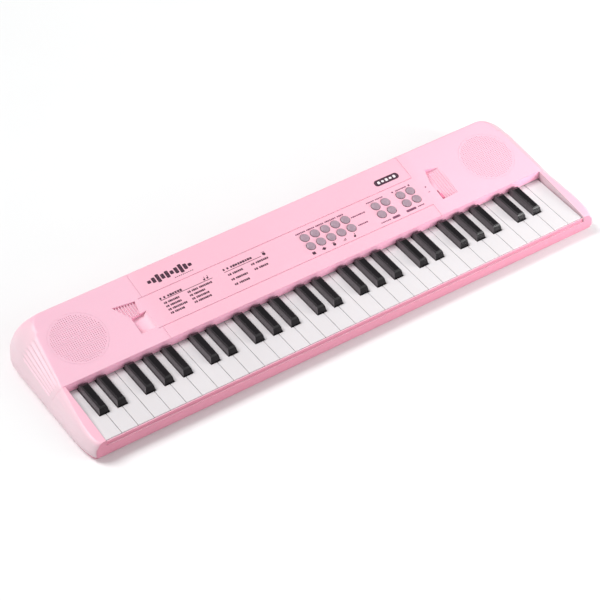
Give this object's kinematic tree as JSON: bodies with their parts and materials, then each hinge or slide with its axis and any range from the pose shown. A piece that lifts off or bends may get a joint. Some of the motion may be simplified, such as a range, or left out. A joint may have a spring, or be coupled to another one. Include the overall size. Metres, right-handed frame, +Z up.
{
  "type": "toy electronic keyboard",
  "caption": "Toy electronic keyboard in pink plastic with hinged keys, rubber buttons, two speakers, a power slide and a sliding battery cover.",
  "frame": {"origin": "on the table under the middle of the keyboard", "axes": "+X along the keys towards the treble end, +Y from the player to the back, +Z up"},
  "size_m": [0.53, 0.1542, 0.0452],
  "materials": {
    "pink_case": "satin",
    "key_white": "gloss",
    "key_black": "gloss",
    "button_rubber": "matte",
    "circuit_board": "matte",
    "contact_rubber": "matte",
    "contact_steel": "satin",
    "speaker_black": "matte",
    "socket_black": "satin"
  },
  "bodies": {
    "case": {"upper_case": "pink_case", "lower_case": "pink_case", "battery_spring_contact": "contact_steel", "battery_plate_contact": "contact_steel", "button_board": "circuit_board", "key_contact_board": "circuit_board", "key_contact_mat": "contact_rubber", "main_board": "circuit_board", "speaker_left": "speaker_black", "speaker_right": "speaker_black", "speaker_grille_left": "pink_case", "speaker_grille_right": "pink_case", "power_socket": "socket_black", "microphone_jack": "socket_black"},
    "battery_cover": {"battery_cover": "pink_case"},
    "power_switch": {"power_switch_knob": "pink_case"},
    "button_tone_pad": {"tone_button_pad": "button_rubber"},
    "button_rhythm_pad": {"rhythm_button_pad": "button_rubber"},
    "button_volume_pad": {"volume_button_pad": "button_rubber"},
    "key_1_c": {"key_1_c": "key_white"},
    "key_1_d": {"key_1_d": "key_white"},
    "key_1_e": {"key_1_e": "key_white"},
    "key_1_f": {"key_1_f": "key_white"},
    "key_1_g": {"key_1_g": "key_white"},
    "key_1_a": {"key_1_a": "key_white"},
    "key_1_b": {"key_1_b": "key_white"},
    "key_2_c": {"key_2_c": "key_white"},
    "key_2_d": {"key_2_d": "key_white"},
    "key_2_e": {"key_2_e": "key_white"},
    "key_2_f": {"key_2_f": "key_white"},
    "key_2_g": {"key_2_g": "key_white"},
    "key_2_a": {"key_2_a": "key_white"},
    "key_2_b": {"key_2_b": "key_white"},
    "key_3_c": {"key_3_c": "key_white"},
    "key_3_d": {"key_3_d": "key_white"},
    "key_3_e": {"key_3_e": "key_white"},
    "key_3_f": {"key_3_f": "key_white"},
    "key_3_g": {"key_3_g": "key_white"},
    "key_3_a": {"key_3_a": "key_white"},
    "key_3_b": {"key_3_b": "key_white"},
    "key_4_c": {"key_4_c": "key_white"},
    "key_4_d": {"key_4_d": "key_white"},
    "key_4_e": {"key_4_e": "key_white"},
    "key_4_f": {"key_4_f": "key_white"},
    "key_4_g": {"key_4_g": "key_white"},
    "key_4_a": {"key_4_a": "key_white"},
    "key_4_b": {"key_4_b": "key_white"},
    "key_5_c": {"key_5_c": "key_white"},
    "key_5_d": {"key_5_d": "key_white"},
    "key_5_e": {"key_5_e": "key_white"},
    "key_5_f": {"key_5_f": "key_white"},
    "key_1_black_pair": {"key_1_black_pair": "key_black"},
    "key_1_black_trio": {"key_1_black_trio": "key_black"},
    "key_2_black_pair": {"key_2_black_pair": "key_black"},
    "key_2_black_trio": {"key_2_black_trio": "key_black"},
    "key_3_black_pair": {"key_3_black_pair": "key_black"},
    "key_3_black_trio": {"key_3_black_trio": "key_black"},
    "key_4_black_pair": {"key_4_black_pair": "key_black"},
    "key_4_black_trio": {"key_4_black_trio": "key_black"},
    "key_5_black_pair": {"key_5_black_pair": "key_black"}
  },
  "joints": [
    {"name": "battery_cover_slide", "type": "slide", "parent": "case", "child": "battery_cover", "axis": [0, 1, 0], "range_m": [0, 0.06]},
    {"name": "button_rhythm_press", "type": "slide", "parent": "case", "child": "button_rhythm_pad", "axis": [0, 0.2256, -0.9742], "range_m": [0, 0.001], "stiffness_N_per_m": 400},
    {"name": "button_tone_press", "type": "slide", "parent": "case", "child": "button_tone_pad", "axis": [0, 0.2256, -0.9742], "range_m": [0, 0.001], "stiffness_N_per_m": 400},
    {"name": "button_volume_press", "type": "slide", "parent": "case", "child": "button_volume_pad", "axis": [0, 0.2256, -0.9742], "range_m": [0, 0.001], "stiffness_N_per_m": 400},
    {"name": "power_switch_slide", "type": "slide", "parent": "case", "child": "power_switch", "axis": [0, 0.9742, 0.2256], "range_m": [0, 0.005]},
    {"name": "key_1_a_press", "type": "hinge", "parent": "case", "child": "key_1_a", "pos_m": [0, 0.0084, 0.0129], "axis": [1, 0, 0], "range_deg": [0, 2.7], "stiffness_Nm_per_rad": 0.6},
    {"name": "key_1_b_press", "type": "hinge", "parent": "case", "child": "key_1_b", "pos_m": [0, 0.0084, 0.0129], "axis": [1, 0, 0], "range_deg": [0, 2.7], "stiffness_Nm_per_rad": 0.6},
    {"name": "key_1_black_pair_press", "type": "hinge", "parent": "case", "child": "key_1_black_pair", "pos_m": [0, 0.0164, 0.0129], "axis": [1, 0, 0], "range_deg": [0, 2.5], "stiffness_Nm_per_rad": 0.6},
    {"name": "key_1_black_trio_press", "type": "hinge", "parent": "case", "child": "key_1_black_trio", "pos_m": [0, 0.0164, 0.0129], "axis": [1, 0, 0], "range_deg": [0, 2.5], "stiffness_Nm_per_rad": 0.6},
    {"name": "key_1_c_press", "type": "hinge", "parent": "case", "child": "key_1_c", "pos_m": [0, 0.0084, 0.0129], "axis": [1, 0, 0], "range_deg": [0, 2.7], "stiffness_Nm_per_rad": 0.6},
    {"name": "key_1_d_press", "type": "hinge", "parent": "case", "child": "key_1_d", "pos_m": [0, 0.0084, 0.0129], "axis": [1, 0, 0], "range_deg": [0, 2.7], "stiffness_Nm_per_rad": 0.6},
    {"name": "key_1_e_press", "type": "hinge", "parent": "case", "child": "key_1_e", "pos_m": [0, 0.0084, 0.0129], "axis": [1, 0, 0], "range_deg": [0, 2.7], "stiffness_Nm_per_rad": 0.6},
    {"name": "key_1_f_press", "type": "hinge", "parent": "case", "child": "key_1_f", "pos_m": [0, 0.0084, 0.0129], "axis": [1, 0, 0], "range_deg": [0, 2.7], "stiffness_Nm_per_rad": 0.6},
    {"name": "key_1_g_press", "type": "hinge", "parent": "case", "child": "key_1_g", "pos_m": [0, 0.0084, 0.0129], "axis": [1, 0, 0], "range_deg": [0, 2.7], "stiffness_Nm_per_rad": 0.6},
    {"name": "key_2_a_press", "type": "hinge", "parent": "case", "child": "key_2_a", "pos_m": [0, 0.0084, 0.0129], "axis": [1, 0, 0], "range_deg": [0, 2.7], "stiffness_Nm_per_rad": 0.6},
    {"name": "key_2_b_press", "type": "hinge", "parent": "case", "child": "key_2_b", "pos_m": [0, 0.0084, 0.0129], "axis": [1, 0, 0], "range_deg": [0, 2.7], "stiffness_Nm_per_rad": 0.6},
    {"name": "key_2_black_pair_press", "type": "hinge", "parent": "case", "child": "key_2_black_pair", "pos_m": [0, 0.0164, 0.0129], "axis": [1, 0, 0], "range_deg": [0, 2.5], "stiffness_Nm_per_rad": 0.6},
    {"name": "key_2_black_trio_press", "type": "hinge", "parent": "case", "child": "key_2_black_trio", "pos_m": [0, 0.0164, 0.0129], "axis": [1, 0, 0], "range_deg": [0, 2.5], "stiffness_Nm_per_rad": 0.6},
    {"name": "key_2_c_press", "type": "hinge", "parent": "case", "child": "key_2_c", "pos_m": [0, 0.0084, 0.0129], "axis": [1, 0, 0], "range_deg": [0, 2.7], "stiffness_Nm_per_rad": 0.6},
    {"name": "key_2_d_press", "type": "hinge", "parent": "case", "child": "key_2_d", "pos_m": [0, 0.0084, 0.0129], "axis": [1, 0, 0], "range_deg": [0, 2.7], "stiffness_Nm_per_rad": 0.6},
    {"name": "key_2_e_press", "type": "hinge", "parent": "case", "child": "key_2_e", "pos_m": [0, 0.0084, 0.0129], "axis": [1, 0, 0], "range_deg": [0, 2.7], "stiffness_Nm_per_rad": 0.6},
    {"name": "key_2_f_press", "type": "hinge", "parent": "case", "child": "key_2_f", "pos_m": [0, 0.0084, 0.0129], "axis": [1, 0, 0], "range_deg": [0, 2.7], "stiffness_Nm_per_rad": 0.6},
    {"name": "key_2_g_press", "type": "hinge", "parent": "case", "child": "key_2_g", "pos_m": [0, 0.0084, 0.0129], "axis": [1, 0, 0], "range_deg": [0, 2.7], "stiffness_Nm_per_rad": 0.6},
    {"name": "key_3_a_press", "type": "hinge", "parent": "case", "child": "key_3_a", "pos_m": [0, 0.0084, 0.0129], "axis": [1, 0, 0], "range_deg": [0, 2.7], "stiffness_Nm_per_rad": 0.6},
    {"name": "key_3_b_press", "type": "hinge", "parent": "case", "child": "key_3_b", "pos_m": [0, 0.0084, 0.0129], "axis": [1, 0, 0], "range_deg": [0, 2.7], "stiffness_Nm_per_rad": 0.6},
    {"name": "key_3_black_pair_press", "type": "hinge", "parent": "case", "child": "key_3_black_pair", "pos_m": [0, 0.0164, 0.0129], "axis": [1, 0, 0], "range_deg": [0, 2.5], "stiffness_Nm_per_rad": 0.6},
    {"name": "key_3_black_trio_press", "type": "hinge", "parent": "case", "child": "key_3_black_trio", "pos_m": [0, 0.0164, 0.0129], "axis": [1, 0, 0], "range_deg": [0, 2.5], "stiffness_Nm_per_rad": 0.6},
    {"name": "key_3_c_press", "type": "hinge", "parent": "case", "child": "key_3_c", "pos_m": [0, 0.0084, 0.0129], "axis": [1, 0, 0], "range_deg": [0, 2.7], "stiffness_Nm_per_rad": 0.6},
    {"name": "key_3_d_press", "type": "hinge", "parent": "case", "child": "key_3_d", "pos_m": [0, 0.0084, 0.0129], "axis": [1, 0, 0], "range_deg": [0, 2.7], "stiffness_Nm_per_rad": 0.6},
    {"name": "key_3_e_press", "type": "hinge", "parent": "case", "child": "key_3_e", "pos_m": [0, 0.0084, 0.0129], "axis": [1, 0, 0], "range_deg": [0, 2.7], "stiffness_Nm_per_rad": 0.6},
    {"name": "key_3_f_press", "type": "hinge", "parent": "case", "child": "key_3_f", "pos_m": [0, 0.0084, 0.0129], "axis": [1, 0, 0], "range_deg": [0, 2.7], "stiffness_Nm_per_rad": 0.6},
    {"name": "key_3_g_press", "type": "hinge", "parent": "case", "child": "key_3_g", "pos_m": [0, 0.0084, 0.0129], "axis": [1, 0, 0], "range_deg": [0, 2.7], "stiffness_Nm_per_rad": 0.6},
    {"name": "key_4_a_press", "type": "hinge", "parent": "case", "child": "key_4_a", "pos_m": [0, 0.0084, 0.0129], "axis": [1, 0, 0], "range_deg": [0, 2.7], "stiffness_Nm_per_rad": 0.6},
    {"name": "key_4_b_press", "type": "hinge", "parent": "case", "child": "key_4_b", "pos_m": [0, 0.0084, 0.0129], "axis": [1, 0, 0], "range_deg": [0, 2.7], "stiffness_Nm_per_rad": 0.6},
    {"name": "key_4_black_pair_press", "type": "hinge", "parent": "case", "child": "key_4_black_pair", "pos_m": [0, 0.0164, 0.0129], "axis": [1, 0, 0], "range_deg": [0, 2.5], "stiffness_Nm_per_rad": 0.6},
    {"name": "key_4_black_trio_press", "type": "hinge", "parent": "case", "child": "key_4_black_trio", "pos_m": [0, 0.0164, 0.0129], "axis": [1, 0, 0], "range_deg": [0, 2.5], "stiffness_Nm_per_rad": 0.6},
    {"name": "key_4_c_press", "type": "hinge", "parent": "case", "child": "key_4_c", "pos_m": [0, 0.0084, 0.0129], "axis": [1, 0, 0], "range_deg": [0, 2.7], "stiffness_Nm_per_rad": 0.6},
    {"name": "key_4_d_press", "type": "hinge", "parent": "case", "child": "key_4_d", "pos_m": [0, 0.0084, 0.0129], "axis": [1, 0, 0], "range_deg": [0, 2.7], "stiffness_Nm_per_rad": 0.6},
    {"name": "key_4_e_press", "type": "hinge", "parent": "case", "child": "key_4_e", "pos_m": [0, 0.0084, 0.0129], "axis": [1, 0, 0], "range_deg": [0, 2.7], "stiffness_Nm_per_rad": 0.6},
    {"name": "key_4_f_press", "type": "hinge", "parent": "case", "child": "key_4_f", "pos_m": [0, 0.0084, 0.0129], "axis": [1, 0, 0], "range_deg": [0, 2.7], "stiffness_Nm_per_rad": 0.6},
    {"name": "key_4_g_press", "type": "hinge", "parent": "case", "child": "key_4_g", "pos_m": [0, 0.0084, 0.0129], "axis": [1, 0, 0], "range_deg": [0, 2.7], "stiffness_Nm_per_rad": 0.6},
    {"name": "key_5_black_pair_press", "type": "hinge", "parent": "case", "child": "key_5_black_pair", "pos_m": [0, 0.0164, 0.0129], "axis": [1, 0, 0], "range_deg": [0, 2.5], "stiffness_Nm_per_rad": 0.6},
    {"name": "key_5_c_press", "type": "hinge", "parent": "case", "child": "key_5_c", "pos_m": [0, 0.0084, 0.0129], "axis": [1, 0, 0], "range_deg": [0, 2.7], "stiffness_Nm_per_rad": 0.6},
    {"name": "key_5_d_press", "type": "hinge", "parent": "case", "child": "key_5_d", "pos_m": [0, 0.0084, 0.0129], "axis": [1, 0, 0], "range_deg": [0, 2.7], "stiffness_Nm_per_rad": 0.6},
    {"name": "key_5_e_press", "type": "hinge", "parent": "case", "child": "key_5_e", "pos_m": [0, 0.0084, 0.0129], "axis": [1, 0, 0], "range_deg": [0, 2.7], "stiffness_Nm_per_rad": 0.6},
    {"name": "key_5_f_press", "type": "hinge", "parent": "case", "child": "key_5_f", "pos_m": [0, 0.0084, 0.0129], "axis": [1, 0, 0], "range_deg": [0, 2.7], "stiffness_Nm_per_rad": 0.6}
  ]
}
